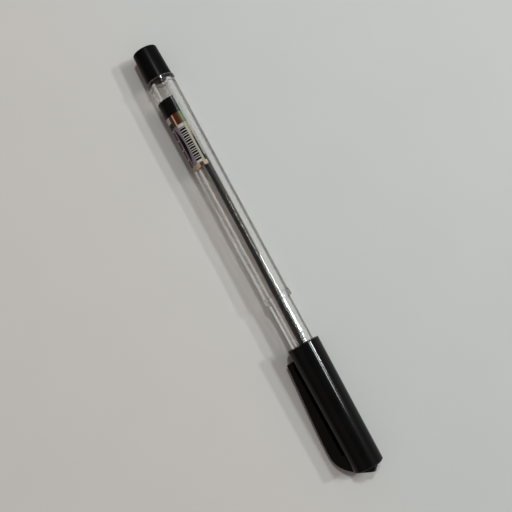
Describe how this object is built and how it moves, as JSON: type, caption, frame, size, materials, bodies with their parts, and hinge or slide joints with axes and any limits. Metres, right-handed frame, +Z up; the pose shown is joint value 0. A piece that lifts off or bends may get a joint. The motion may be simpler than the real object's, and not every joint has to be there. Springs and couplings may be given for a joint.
{
  "type": "stick ballpoint pen",
  "caption": "Capped stick ballpoint pen with a clear thick-walled barrel, black refill, end plug and a push-on cap with a fin clip.",
  "frame": {"origin": "centre of the flat tail face of the end plug, on the pen's axis", "axes": "+X along the pen towards the writing tip, +Z up as the pen lies on a table, the clip points to -Y and down"},
  "size_m": [0.1476, 0.0145, 0.0104],
  "materials": {
    "clear_plastic": "clear, moulded, polished",
    "black_plastic": "moulded, semi-gloss",
    "label_print": "printed film sticker, glossy",
    "tube_plastic": "clear extruded tube",
    "ink": "black paste ink",
    "point_metal": "turned nickel silver",
    "ball_metal": "ground carbide",
    "nose_plastic": "moulded, semi-gloss",
    "cap_plastic": "moulded, gloss"
  },
  "bodies": {
    "pen": {"barrel": "clear_plastic", "end_plug": "black_plastic", "label": "label_print", "refill_tube": "tube_plastic", "ink": "ink", "writing_point": "point_metal", "nose_cone": "nose_plastic"},
    "cap": {"cap": "cap_plastic"},
    "ball": {"ball": "ball_metal"}
  },
  "joints": [
    {"name": "cap_pull", "type": "slide", "parent": "pen", "child": "cap", "axis": [1, 0, 0], "range_m": [0, 0.05]},
    {"name": "ball_roll", "type": "hinge", "parent": "pen", "child": "ball", "pos_m": [0.14185, 0, 0], "axis": [0, 1, 0], "continuous": true}
  ]
}
